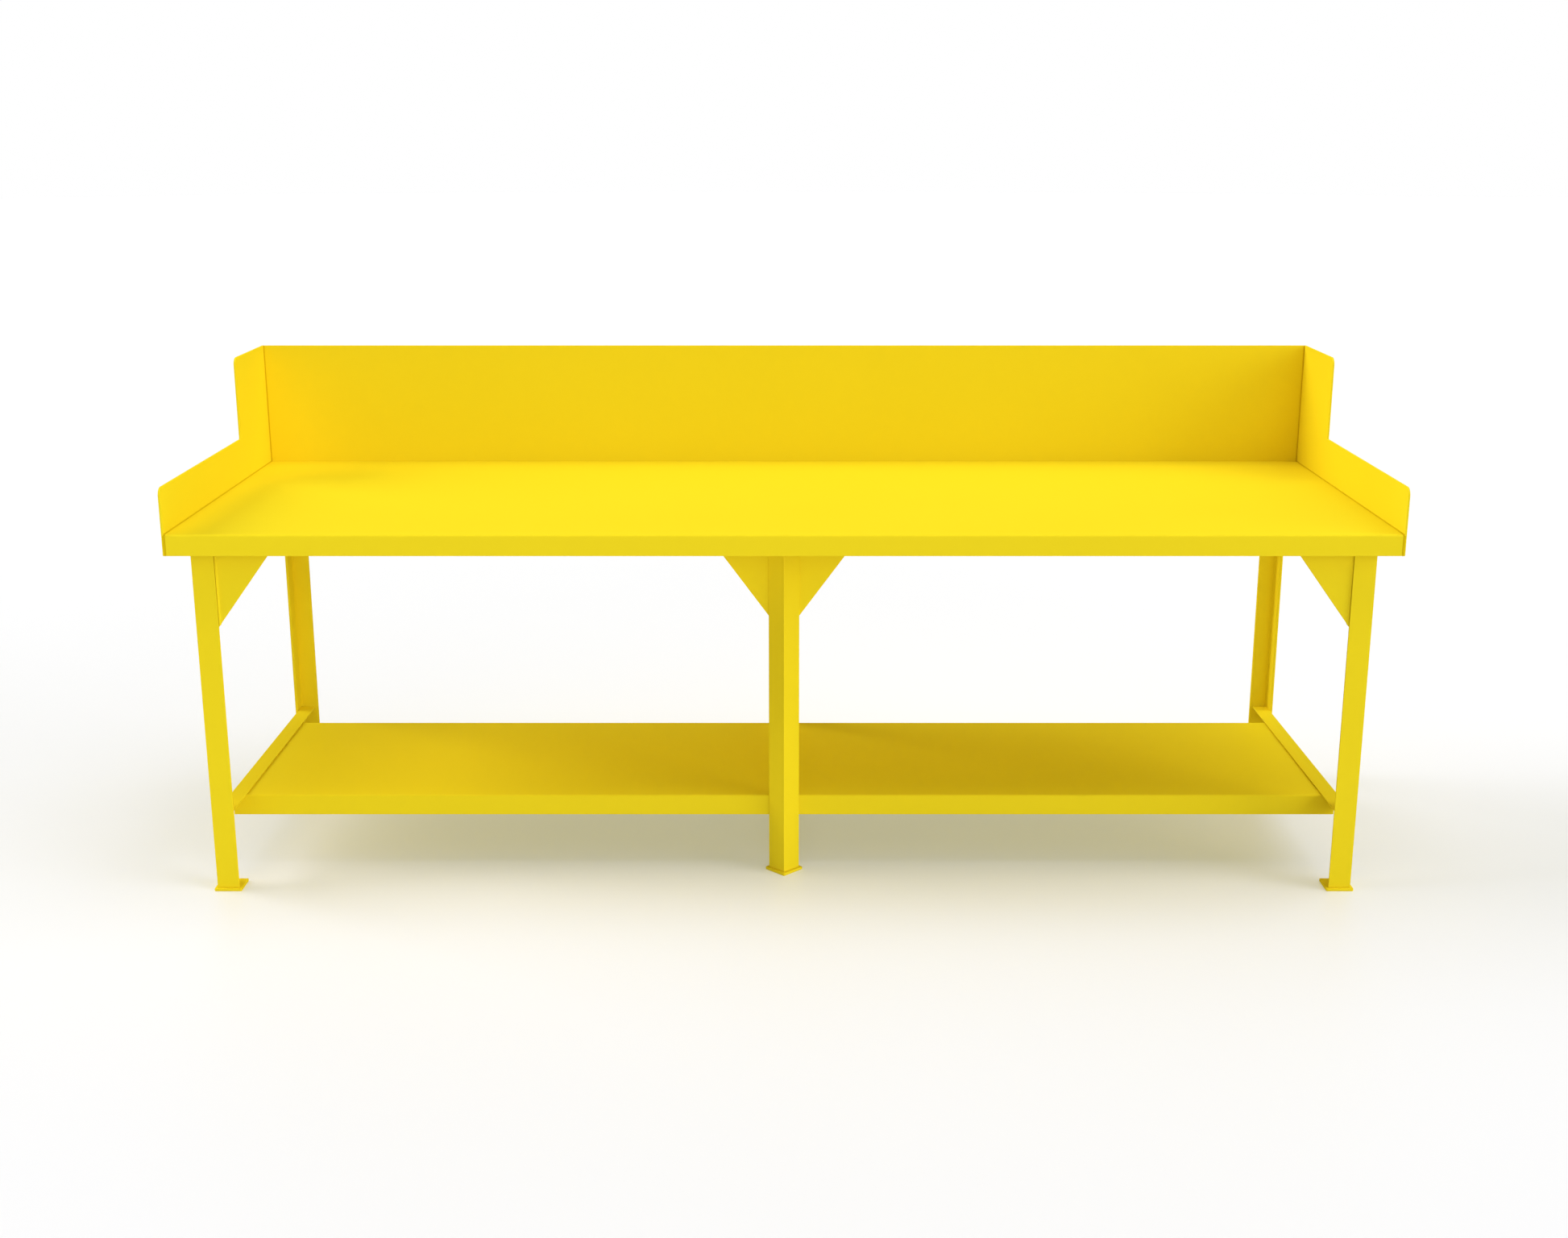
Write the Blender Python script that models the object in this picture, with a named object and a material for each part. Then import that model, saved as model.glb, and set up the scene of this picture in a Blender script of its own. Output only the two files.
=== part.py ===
"""All-welded steel shop table with a guarded worktop, six angle legs and a lower shelf.

Blender 4.5 script in metres, with +Z up. The front of the table faces -Y. The origin is on the floor,
under the middle of the table's outline.

Every piece is a steel section or a cut or folded plate: its profile is drawn flat, given its thickness or
its length by an extrusion, and then placed by its location and rotation.
"""

import math

import bmesh
import bpy
from mathutils import Vector

# Overall sizes
table_width = 2.7432
table_depth = 0.9144
worktop_height = 0.8636

# Sheet and plate
sheet_thickness = 0.0048
bend_inside_radius = 0.0010
weld_gap = 0.0003
edge_break = 0.0004

# Worktop
worktop_lip_height = 0.0483

# Guards
guard_thickness = 0.0048
tall_guard_height = 0.3073
low_guard_height = 0.1041
tall_guard_length = 0.2690
guard_corner_radius = 0.0190

# Legs, all cut from one steel angle
leg_angle_width = 0.0508
leg_angle_thickness = 0.0064
leg_root_radius = 0.0064
leg_toe_radius = 0.0032
leg_end_inset = 0.0445
leg_front_inset = 0.0508
leg_rear_inset = 0.0330

# Foot pads
foot_pad_thickness = 0.0064
foot_pad_margin = 0.0064
foot_pad_corner_radius = 0.0030

# Gussets, all cut to one pattern
gusset_thickness = 0.0048
gusset_width = 0.1690
gusset_height = 0.2275
gusset_tip_width = 0.0064
gusset_corner_clip = 0.0190
corner_gusset_lap = 0.0127

# End rails
rail_angle_width = 0.0381
rail_angle_thickness = 0.0032
rail_root_radius = 0.0032
rail_toe_radius = 0.0016
rail_top_height = 0.1914

# Lower shelf
shelf_front_inset = 0.1836
shelf_depth = 0.5560
shelf_lip_height = 0.0492

# Worktop stiffeners
stiffener_width = 0.0635
stiffener_height = 0.0381
stiffener_end_clearance = 0.0254
stiffener_bay_share = 0.5

# Facets in a quarter turn of a bend or a corner
bend_steps = 6
corner_steps = 8
fillet_steps = 4

quarter_turn = math.pi / 2
eighth_turn = math.pi / 4
diagonal_share = math.sqrt(0.5)

# Turns that lay a profile's own axes along the table's axes
faces_front = (quarter_turn, 0.0, 0.0)
runs_across = (quarter_turn, 0.0, quarter_turn)
runs_back_flange_right = (-quarter_turn, 0.0, 0.0)
runs_back_flange_left = (0.0, quarter_turn, quarter_turn)

# Planes and edges that several pieces share
front_plane = -table_depth / 2
rear_plane = table_depth / 2
end_plane = table_width / 2
worktop_underside = worktop_height - sheet_thickness
guard_bottom = worktop_height - worktop_lip_height
inside_end_guard = end_plane - guard_thickness
inside_back_guard = rear_plane - guard_thickness
leg_bottom = foot_pad_thickness + weld_gap
leg_length = worktop_underside - weld_gap - leg_bottom
corner_leg_x = end_plane - leg_end_inset
front_leg_y = front_plane + leg_front_inset
rear_leg_y = rear_plane - leg_rear_inset
shelf_front_y = front_plane + shelf_front_inset
shelf_rear_y = shelf_front_y + shelf_depth

# Reach of an angle turned 45 degrees, from its heel to the back of its toes
turned_leg_reach = (
    leg_angle_width + leg_angle_thickness + leg_toe_radius * (math.sqrt(2) - 2)
) * diagonal_share
front_centre_leg_y = shelf_front_y - weld_gap - turned_leg_reach
rear_centre_leg_y = shelf_rear_y + weld_gap + turned_leg_reach


def clear_scene():
    """Removes every object that the scene starts with."""
    for thing in list(bpy.data.objects):
        bpy.data.objects.remove(thing, do_unlink=True)


def painted_steel(name):
    """Returns a bright yellow paint for one piece."""
    material = bpy.data.materials.new(name + "_yellow_paint")
    material.use_nodes = True
    shader = material.node_tree.nodes["Principled BSDF"]
    shader.inputs["Base Color"].default_value = (0.90, 0.62, 0.012, 1.0)
    shader.inputs["Metallic"].default_value = 0.0
    shader.inputs["Roughness"].default_value = 0.42
    return material


def arc(centre_x, centre_y, radius, start, turn, steps):
    """Returns points along an arc that begins at the angle start and sweeps through turn."""
    points = []
    for step in range(steps + 1):
        angle = start + turn * step / steps
        points.append((centre_x + radius * math.cos(angle), centre_y + radius * math.sin(angle)))
    return points


def angle_profile(width, thickness, root_radius, toe_radius):
    """Returns the outline of a rolled equal angle with its heel at the origin."""
    outline = [(0.0, 0.0), (width, 0.0)]
    outline += arc(width - toe_radius, thickness - toe_radius, toe_radius, 0.0, quarter_turn, fillet_steps)
    root_centre = thickness + root_radius
    outline += arc(root_centre, root_centre, root_radius, -quarter_turn, -quarter_turn, fillet_steps)
    outline += arc(thickness - toe_radius, width - toe_radius, toe_radius, 0.0, quarter_turn, fillet_steps)
    outline.append((0.0, width))
    return outline


def folded_profile(corners, thickness, inside_radius):
    """Returns the outline of a sheet folded along a line.

    Args:
        corners: the middle of the sheet's thickness, as the corners where its flat parts would meet.
        thickness: the sheet's thickness.
        inside_radius: the radius inside each bend.
    """
    middle_radius = inside_radius + thickness / 2
    points = [Vector(corner) for corner in corners]
    stations = []
    heading = (points[1] - points[0]).normalized()
    stations.append((points[0], heading))
    for index in range(1, len(points) - 1):
        next_heading = (points[index + 1] - points[index]).normalized()
        turn = math.atan2(heading.cross(next_heading), heading.dot(next_heading))
        setback = middle_radius * math.tan(abs(turn) / 2)
        start = points[index] - heading * setback
        side = math.copysign(middle_radius, turn)
        centre = start + Vector((-heading.y, heading.x)) * side
        for step in range(bend_steps + 1):
            angle = turn * step / bend_steps
            turned = Vector((
                heading.x * math.cos(angle) - heading.y * math.sin(angle),
                heading.x * math.sin(angle) + heading.y * math.cos(angle),
            ))
            stations.append((centre - Vector((-turned.y, turned.x)) * side, turned))
        heading = next_heading
    stations.append((points[-1], heading))
    left = []
    right = []
    for place, direction in stations:
        across = Vector((-direction.y, direction.x)) * thickness / 2
        left.append(tuple(place + across))
        right.append(tuple(place - across))
    return left + right[::-1]


def rounded_rectangle(width, height, radius):
    """Returns the outline of a rectangle with round corners, centred on the origin."""
    outline = []
    for turn, sign_x, sign_y in ((0, 1, 1), (1, -1, 1), (2, -1, -1), (3, 1, -1)):
        centre_x = sign_x * (width / 2 - radius)
        centre_y = sign_y * (height / 2 - radius)
        outline += arc(centre_x, centre_y, radius, turn * quarter_turn, quarter_turn, fillet_steps)
    return outline


def end_guard_outline():
    """Returns the stepped outline of an end guard, seen from the side, with the front at the left."""
    top = worktop_height + tall_guard_height
    low_top = worktop_height + low_guard_height
    step = rear_plane - tall_guard_length
    radius = guard_corner_radius
    outline = [(front_plane, guard_bottom), (rear_plane, guard_bottom), (rear_plane, top)]
    outline += arc(step + radius, top - radius, radius, quarter_turn, quarter_turn, corner_steps)
    outline.append((step, low_top))
    outline += arc(front_plane + radius, low_top - radius, radius, quarter_turn, quarter_turn, corner_steps)
    return outline


def gusset_outline():
    """Returns a gusset's outline, with its square corner at the origin and its long tip pointing down."""
    return [
        (gusset_corner_clip, 0.0),
        (0.0, -gusset_corner_clip),
        (0.0, -gusset_height),
        (gusset_tip_width, -gusset_height),
        (gusset_width, -gusset_tip_width),
        (gusset_width, 0.0),
    ]


def extruded(name, outline, length, centred=False):
    """Returns a mesh made by giving a flat outline a length along its own Z.

    Args:
        name: the mesh's name.
        outline: corner points, in order round the outline.
        length: how far the outline is extruded.
        centred: whether the length lies half on each side of the outline's plane.
    """
    base = -length / 2 if centred else 0.0
    shape = bmesh.new()
    face = shape.faces.new([shape.verts.new((x, y, base)) for x, y in outline])
    grown = bmesh.ops.extrude_face_region(shape, geom=[face])
    moved = [item for item in grown["geom"] if isinstance(item, bmesh.types.BMVert)]
    bmesh.ops.translate(shape, verts=moved, vec=(0.0, 0.0, length))
    bmesh.ops.recalc_face_normals(shape, faces=shape.faces)
    mesh = bpy.data.meshes.new(name)
    shape.to_mesh(mesh)
    shape.free()
    mesh.shade_smooth()
    mesh.set_sharp_from_angle(angle=eighth_turn)
    return mesh


def place(name, mesh, location, rotation, parent, break_edges=True):
    """Puts a mesh in the table as one named piece.

    Args:
        name: the piece's name.
        mesh: its mesh, which other pieces may share.
        location: where the mesh's origin goes.
        rotation: its turn, as Euler angles.
        parent: the object that it belongs to.
        break_edges: whether its cut edges are broken by a small chamfer.
    """
    piece = bpy.data.objects.new(name, mesh)
    bpy.context.collection.objects.link(piece)
    piece.location = location
    piece.rotation_euler = rotation
    piece.parent = parent
    if not mesh.materials:
        mesh.materials.append(None)
    piece.material_slots[0].link = "OBJECT"
    piece.material_slots[0].material = painted_steel(name)
    if break_edges:
        chamfer = piece.modifiers.new("edge_break", "BEVEL")
        chamfer.width = edge_break
        chamfer.segments = 1
        chamfer.limit_method = "ANGLE"
        chamfer.angle_limit = eighth_turn
    return piece


def build_worktop(parent):
    """Makes the worktop, one sheet whose front edge is folded down."""
    middle_height = worktop_height - sheet_thickness / 2
    lip_middle = front_plane + sheet_thickness / 2
    corners = [
        (lip_middle, guard_bottom),
        (lip_middle, middle_height),
        (inside_back_guard - weld_gap, middle_height),
    ]
    length = 2 * (inside_end_guard - weld_gap)
    mesh = extruded("worktop", folded_profile(corners, sheet_thickness, bend_inside_radius), length, True)
    place("worktop", mesh, (0.0, 0.0, 0.0), runs_across, parent)


def build_guards(parent):
    """Makes the back guard and the two stepped end guards that stand outside the worktop."""
    height = worktop_height + tall_guard_height - guard_bottom
    half_length = inside_end_guard - weld_gap
    outline = [
        (-half_length, 0.0),
        (half_length, 0.0),
        (half_length, height),
        (-half_length, height),
    ]
    back = extruded("back_guard", outline, guard_thickness)
    place("back_guard", back, (0.0, rear_plane, guard_bottom), faces_front, parent)
    end = extruded("end_guard", end_guard_outline(), guard_thickness, True)
    middle = end_plane - guard_thickness / 2
    place("left_end_guard", end, (-middle, 0.0, 0.0), runs_across, parent)
    place("right_end_guard", end, (middle, 0.0, 0.0), runs_across, parent)


def build_legs(parent):
    """Makes the four corner legs and the two centre legs from one length of steel angle."""
    profile = angle_profile(leg_angle_width, leg_angle_thickness, leg_root_radius, leg_toe_radius)
    mesh = extruded("leg", profile, leg_length)
    places = {
        "front_left_leg": (-corner_leg_x, front_leg_y, 0.0),
        "front_right_leg": (corner_leg_x, front_leg_y, quarter_turn),
        "rear_right_leg": (corner_leg_x, rear_leg_y, 2 * quarter_turn),
        "rear_left_leg": (-corner_leg_x, rear_leg_y, -quarter_turn),
        "front_centre_leg": (0.0, front_centre_leg_y, eighth_turn),
        "rear_centre_leg": (0.0, rear_centre_leg_y, eighth_turn + 2 * quarter_turn),
    }
    for name, (x, y, turn) in places.items():
        place(name, mesh, (x, y, leg_bottom), (0.0, 0.0, turn), parent, break_edges=False)


def build_foot_pads(parent):
    """Makes a square pad under each leg, with an even margin round the angle."""
    side = leg_angle_width + 2 * foot_pad_margin
    outline = rounded_rectangle(side, side, foot_pad_corner_radius)
    mesh = extruded("foot_pad", outline, foot_pad_thickness)
    half = leg_angle_width / 2
    corner_x = corner_leg_x - half
    half_diagonal = leg_angle_width * diagonal_share
    places = {
        "front_left_foot_pad": (-corner_x, front_leg_y + half, 0.0),
        "front_right_foot_pad": (corner_x, front_leg_y + half, 0.0),
        "rear_left_foot_pad": (-corner_x, rear_leg_y - half, 0.0),
        "rear_right_foot_pad": (corner_x, rear_leg_y - half, 0.0),
        "front_centre_foot_pad": (0.0, front_centre_leg_y + half_diagonal, eighth_turn),
        "rear_centre_foot_pad": (0.0, rear_centre_leg_y - half_diagonal, eighth_turn),
    }
    for name, (x, y, turn) in places.items():
        place(name, mesh, (x, y, 0.0), (0.0, 0.0, turn), parent)


def build_gussets(parent):
    """Makes the eight gussets that brace the legs to the worktop, lapped behind the legs' flanges."""
    mesh = extruded("gusset", gusset_outline(), gusset_thickness, True)
    top = worktop_underside - weld_gap
    lap = weld_gap + gusset_thickness / 2
    corner_x = corner_leg_x - leg_angle_width + corner_gusset_lap
    centre_x = leg_angle_width * diagonal_share - gusset_tip_width
    front_y = front_leg_y + leg_angle_thickness + lap
    rear_y = rear_leg_y - leg_angle_thickness - lap
    front_centre_y = front_centre_leg_y + turned_leg_reach + lap
    rear_centre_y = rear_centre_leg_y - turned_leg_reach - lap
    to_right = 0.0
    to_left = 2 * quarter_turn
    places = {
        "front_left_gusset": (-corner_x, front_y, to_right),
        "front_right_gusset": (corner_x, front_y, to_left),
        "rear_left_gusset": (-corner_x, rear_y, to_right),
        "rear_right_gusset": (corner_x, rear_y, to_left),
        "front_centre_left_gusset": (-centre_x, front_centre_y, to_left),
        "front_centre_right_gusset": (centre_x, front_centre_y, to_right),
        "rear_centre_left_gusset": (-centre_x, rear_centre_y, to_left),
        "rear_centre_right_gusset": (centre_x, rear_centre_y, to_right),
    }
    for name, (x, y, turn) in places.items():
        place(name, mesh, (x, y, top), (quarter_turn, 0.0, turn), parent)


def build_end_rails(parent):
    """Makes the angle rails that tie the front and rear legs at each end, over the shelf's ends."""
    profile = angle_profile(rail_angle_width, rail_angle_thickness, rail_root_radius, rail_toe_radius)
    front = front_leg_y + leg_angle_thickness + leg_root_radius + weld_gap
    rear = rear_leg_y - leg_angle_thickness - leg_root_radius - weld_gap
    mesh = extruded("end_rail", profile, rear - front)
    outside = corner_leg_x - leg_angle_thickness - weld_gap
    left = (-outside, front, rail_top_height)
    right = (outside, front, rail_top_height)
    place("left_end_rail", mesh, left, runs_back_flange_right, parent, break_edges=False)
    place("right_end_rail", mesh, right, runs_back_flange_left, parent, break_edges=False)


def build_shelf(parent):
    """Makes the lower shelf, one sheet folded down at front and rear, under the rails' top flanges."""
    top = rail_top_height - rail_angle_thickness - weld_gap
    middle_height = top - sheet_thickness / 2
    lip_bottom = top - shelf_lip_height
    front = shelf_front_y + sheet_thickness / 2
    rear = shelf_rear_y - sheet_thickness / 2
    corners = [(front, lip_bottom), (front, middle_height), (rear, middle_height), (rear, lip_bottom)]
    rail_inside = corner_leg_x - leg_angle_thickness - weld_gap - rail_angle_thickness
    length = 2 * (rail_inside - rail_root_radius)
    profile = folded_profile(corners, sheet_thickness, bend_inside_radius)
    mesh = extruded("lower_shelf", profile, length, True)
    place("lower_shelf", mesh, (0.0, 0.0, 0.0), runs_across, parent)


def build_stiffeners(parent):
    """Makes the two channels that stiffen the worktop from front to back, midway between the legs."""
    half = stiffener_width / 2 - sheet_thickness / 2
    web = sheet_thickness / 2
    corners = [(-half, stiffener_height), (-half, web), (half, web), (half, stiffener_height)]
    front = front_plane + sheet_thickness + stiffener_end_clearance
    rear = inside_back_guard - stiffener_end_clearance
    profile = folded_profile(corners, sheet_thickness, bend_inside_radius)
    mesh = extruded("stiffener", profile, rear - front)
    x = corner_leg_x * stiffener_bay_share
    bottom = worktop_underside - weld_gap - stiffener_height
    for name, side in (("left_stiffener", -1), ("right_stiffener", 1)):
        place(name, mesh, (side * x, rear, bottom), faces_front, parent)


def main():
    """Builds the whole table under one empty."""
    clear_scene()
    table = bpy.data.objects.new("shop_table", None)
    bpy.context.collection.objects.link(table)
    build_worktop(table)
    build_guards(table)
    build_legs(table)
    build_foot_pads(table)
    build_gussets(table)
    build_end_rails(table)
    build_shelf(table)
    build_stiffeners(table)


main()
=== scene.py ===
"""The finished shop table: its welded steel pieces, their powder coat, the floor, the lights and the camera.

Blender 4.5 script in metres, with +Z up. The front of the table faces -Y. Each sub-assembly is a class that
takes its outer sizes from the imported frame, builds its pieces with the bends and edges of the real ones, and
paints them. Every piece stands for one node of the frame and takes that node's name, with the kind of steel
that it is cut from behind it. The weld beads that join a piece to its neighbours are a piece of their own.
"""

import logging
import math
from dataclasses import dataclass, replace
from enum import Enum

import bmesh
import bpy
from mathutils import Matrix, Vector


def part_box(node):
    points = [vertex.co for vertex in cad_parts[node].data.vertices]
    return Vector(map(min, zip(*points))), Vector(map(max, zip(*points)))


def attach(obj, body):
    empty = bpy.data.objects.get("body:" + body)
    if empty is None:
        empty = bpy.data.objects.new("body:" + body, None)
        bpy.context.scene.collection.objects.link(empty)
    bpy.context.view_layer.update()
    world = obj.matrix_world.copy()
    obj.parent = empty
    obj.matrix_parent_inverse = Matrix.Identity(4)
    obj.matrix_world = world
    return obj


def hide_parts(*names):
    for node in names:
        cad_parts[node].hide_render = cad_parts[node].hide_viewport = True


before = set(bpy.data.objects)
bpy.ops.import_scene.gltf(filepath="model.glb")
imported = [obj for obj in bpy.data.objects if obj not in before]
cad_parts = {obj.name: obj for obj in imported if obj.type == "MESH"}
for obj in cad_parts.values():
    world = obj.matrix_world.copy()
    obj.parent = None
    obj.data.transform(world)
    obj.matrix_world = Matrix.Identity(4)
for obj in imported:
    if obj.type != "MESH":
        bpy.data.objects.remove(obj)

Outline = list[tuple[float, float]]
Colour = tuple[float, float, float, float]
Box = tuple[Vector, Vector]

log = logging.getLogger("shop_table")

MILLIMETRE = 0.001
QUARTER_TURN = math.pi / 2

RIGHT = Vector((1.0, 0.0, 0.0))
BACK = Vector((0.0, 1.0, 0.0))
UP = Vector((0.0, 0.0, 1.0))


class End(Enum):
    """The two ends of the table, each with the sign of its X."""

    LEFT = -1
    RIGHT = 1

    @property
    def outwards(self) -> Vector:
        """The direction out of the table at this end."""
        return self.value * RIGHT

    def outer(self, box: Box) -> float:
        """Returns the X of a box's outer face at this end."""
        return box[1].x if self is End.RIGHT else box[0].x

    def inner(self, box: Box) -> float:
        """Returns the X of a box's inner face at this end."""
        return box[0].x if self is End.RIGHT else box[1].x


class Row(Enum):
    """The two long sides of the table, each with the sign of its Y."""

    FRONT = -1
    REAR = 1

    @property
    def outwards(self) -> Vector:
        """The direction out of the table at this side."""
        return self.value * BACK

    def outer(self, box: Box) -> float:
        """Returns the Y of a box's outer face at this side."""
        return box[1].y if self is Row.REAR else box[0].y

    def inner(self, box: Box) -> float:
        """Returns the Y of a box's inner face at this side."""
        return box[0].y if self is Row.REAR else box[1].y


class Stock(Enum):
    """The steel that a piece is cut from, or the weld metal laid along it."""

    SHEET = "sheet"
    PLATE = "plate"
    ANGLE = "angle"
    CHANNEL = "channel"
    WELD = "weld"
    SEAM = "seam"
    SEAM_WELD = "seam_weld"
    FLUSH_WELD = "flush_weld"


def node_name(*parts: End | Row | str) -> str:
    """Joins a node's name from its parts, such as a side, an end and a kind of piece."""
    return "_".join(part if isinstance(part, str) else part.name.lower() for part in parts)


def linear(hex_colour: str) -> Colour:
    """Turns an sRGB colour into the linear one that shaders use.

    Args:
        hex_colour: the colour as #RRGGBB.

    Returns:
        Linear red, green and blue, and an alpha of 1.
    """
    channels = []
    for start in (1, 3, 5):
        value = int(hex_colour[start:start + 2], 16) / 255
        channels.append(value / 12.92 if value <= 0.04045 else ((value + 0.055) / 1.055) ** 2.4)
    return (channels[0], channels[1], channels[2], 1.0)


def add_node(
    tree: bpy.types.NodeTree,
    kind: str,
    settings: dict[str, object] | None = None,
    values: dict[str, object] | None = None,
    links: dict[str, bpy.types.NodeSocket] | None = None,
) -> bpy.types.Node:
    """Adds one node with its settings, its plain inputs and its links.

    Args:
        tree: the node tree that it goes into.
        kind: the node's type.
        settings: attributes of the node itself.
        values: inputs that hold a value, by name.
        links: inputs that another node's output feeds, by name.

    Returns:
        The new node.
    """
    node = tree.nodes.new(kind)
    for name, setting in (settings or {}).items():
        setattr(node, name, setting)
    for name, value in (values or {}).items():
        node.inputs[name].default_value = value
    for name, output in (links or {}).items():
        tree.links.new(output, node.inputs[name])
    return node


@dataclass(frozen=True)
class PowderCoat:
    """Polyester powder coat, sprayed dry on blasted steel and baked.

    It gives the eye one strong, even yellow with hardly any shine. The film is a little thicker in some
    places than in others, which drifts its colour very slightly, and it dries with a fine orange peel.

    Attributes:
        name: the material's name.
        thick_film: the colour where the film is thick.
        thin_film: the colour where it is thin.
        roughness: how dull the film is.
        specular_level: how strongly its surface reflects, against the usual half.
        drift_length: how far apart thick and thin places lie.
        peel_length: the width of one bump of the orange peel, drawn coarser than the real 2 mm so that it
            can show.
        peel_height: the height of those bumps.
        peel_strength: how much of that height the light feels.
    """

    name: str = "polyester_powder_coat_satin_yellow"
    thick_film: str = "#F4DB23"
    thin_film: str = "#F1D821"
    roughness: float = 0.6
    specular_level: float = 0.01
    drift_length: float = 400 * MILLIMETRE
    peel_length: float = 4 * MILLIMETRE
    peel_height: float = 0.05 * MILLIMETRE
    peel_strength: float = 0.25

    def material(self) -> bpy.types.Material:
        """Builds the coat's material.

        Returns:
            A material that any piece of the table can carry.
        """
        coat = bpy.data.materials.new(self.name)
        coat.use_nodes = True
        tree = coat.node_tree
        shader = tree.nodes["Principled BSDF"]
        shader.inputs["Roughness"].default_value = self.roughness
        shader.inputs["Specular IOR Level"].default_value = self.specular_level
        place = add_node(tree, "ShaderNodeTexCoord").outputs["Object"]
        drift = add_node(
            tree,
            "ShaderNodeTexNoise",
            values={"Scale": 1 / self.drift_length, "Detail": 1.0},
            links={"Vector": place},
        )
        film = add_node(
            tree,
            "ShaderNodeMix",
            settings={"data_type": "RGBA"},
            values={"A": linear(self.thin_film), "B": linear(self.thick_film)},
            links={"Factor": drift.outputs["Fac"]},
        )
        tree.links.new(film.outputs["Result"], shader.inputs["Base Color"])
        peel = add_node(
            tree,
            "ShaderNodeTexNoise",
            values={"Scale": 1 / self.peel_length, "Detail": 2.0},
            links={"Vector": place},
        )
        bump = add_node(
            tree,
            "ShaderNodeBump",
            values={"Strength": self.peel_strength, "Distance": self.peel_height},
            links={"Height": peel.outputs["Fac"]},
        )
        tree.links.new(bump.outputs["Normal"], shader.inputs["Normal"])
        return coat


@dataclass(frozen=True)
class SeamShadeCoat(PowderCoat):
    """The same powder coat, darker and browner, in and along the narrow seams.

    It gives the eye a darker, browner line: painted shade that stands in for the shadow down in the seams.
    """

    name: str = "polyester_powder_coat_starved_in_seam"
    thick_film: str = "#E3C20C"
    thin_film: str = "#D8B60A"
    drift_length: float = 60 * MILLIMETRE


def shown_rays(tree: bpy.types.NodeTree) -> bpy.types.NodeSocket:
    """Finds the rays that show a background: what the camera, a gloss or a clear part sees.

    Args:
        tree: the node tree that asks.

    Returns:
        A socket that is 1 for those rays and 0 for the rays that carry light.
    """
    rays = add_node(tree, "ShaderNodeLightPath").outputs
    shown = rays["Is Camera Ray"]
    for name in ("Is Glossy Ray", "Is Transmission Ray"):
        either = add_node(tree, "ShaderNodeMath", {"operation": "MAXIMUM"})
        tree.links.new(shown, either.inputs[0])
        tree.links.new(rays[name], either.inputs[1])
        shown = either.outputs["Value"]
    return shown


@dataclass(frozen=True)
class SealedFloor:
    """Plain pale floor, concrete under a satin sealing paint, which takes the table's shadow.

    It gives the eye a soft shadow, a faint, blurred warmth where it mirrors the yellow steel, and a warm glow
    in its shadows that is painted bounce light.

    Attributes:
        name: the material's name.
        colour: the paint's colour, as it throws light back at the table.
        shown_colour: the duller, cooler colour that takes the shadows which the camera sees; its coolness
            offsets the warm glow.
        painted_bounce_colour: the warm white of the glow, painted bounce light that warms the floor's shadows.
        roughness: how dull the paint is.
        specular_level: how strongly it mirrors, against ordinary paint at 0.5.
        lift: how much brighter the floor is shown than it is lit, so that it is white in the open.
    """

    name: str = "sealed_floor_satin_white"
    colour: str = "#DFDFDE"
    shown_colour: str = "#C9C9D8"
    painted_bounce_colour: str = "#FFFFD1"
    roughness: float = 0.5
    specular_level: float = 0.65
    lift: float = 0.285

    def material(self) -> bpy.types.Material:
        """Builds the floor's material.

        Returns:
            A satin white material.
        """
        paint = bpy.data.materials.new(self.name)
        paint.use_nodes = True
        tree = paint.node_tree
        shader = tree.nodes["Principled BSDF"]
        shader.inputs["Roughness"].default_value = self.roughness
        shader.inputs["Specular IOR Level"].default_value = self.specular_level
        # The glow is cream: painted bounce light, warming the floor's shadows as if from the yellow steel.
        shader.inputs["Emission Color"].default_value = linear(self.painted_bounce_colour)
        shown = shown_rays(tree)
        film = add_node(
            tree,
            "ShaderNodeMix",
            settings={"data_type": "RGBA"},
            values={"A": linear(self.colour), "B": linear(self.shown_colour)},
            links={"Factor": shown},
        )
        tree.links.new(film.outputs["Result"], shader.inputs["Base Color"])
        lifted = add_node(tree, "ShaderNodeMath", {"operation": "MULTIPLY"})
        tree.links.new(shown, lifted.inputs[0])
        lifted.inputs[1].default_value = self.lift
        tree.links.new(lifted.outputs["Value"], shader.inputs["Emission Strength"])
        return paint


def arc(centre: tuple[float, float], radius: float, start: float, turn: float, steps: int) -> Outline:
    """Lists points along an arc.

    Args:
        centre: the arc's centre.
        radius: its radius.
        start: the angle where it begins.
        turn: the angle that it sweeps through.
        steps: how many straight runs stand for it.

    Returns:
        The points in order, with both ends.
    """
    points = []
    for step in range(steps + 1):
        angle = start + turn * step / steps
        points.append((centre[0] + radius * math.cos(angle), centre[1] + radius * math.sin(angle)))
    return points


def rolled_angle(
    width: float, thickness: float, root_radius: float, toe_radius: float, steps: int
) -> Outline:
    """Draws the section of a rolled equal angle.

    Args:
        width: the width of each flange, from the heel.
        thickness: the flanges' thickness.
        root_radius: the radius between the flanges, on the inside.
        toe_radius: the radius at each flange's inner edge.
        steps: straight runs in each round corner.

    Returns:
        The outline, with the heel at the origin and the flanges along +X and +Y.
    """
    inner = thickness + root_radius
    outline = [(0.0, 0.0), (width, 0.0)]
    outline += arc((width - toe_radius, thickness - toe_radius), toe_radius, 0.0, QUARTER_TURN, steps)
    outline += arc((inner, inner), root_radius, -QUARTER_TURN, -QUARTER_TURN, steps)
    outline += arc((thickness - toe_radius, width - toe_radius), toe_radius, 0.0, QUARTER_TURN, steps)
    outline.append((0.0, width))
    return outline


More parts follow.
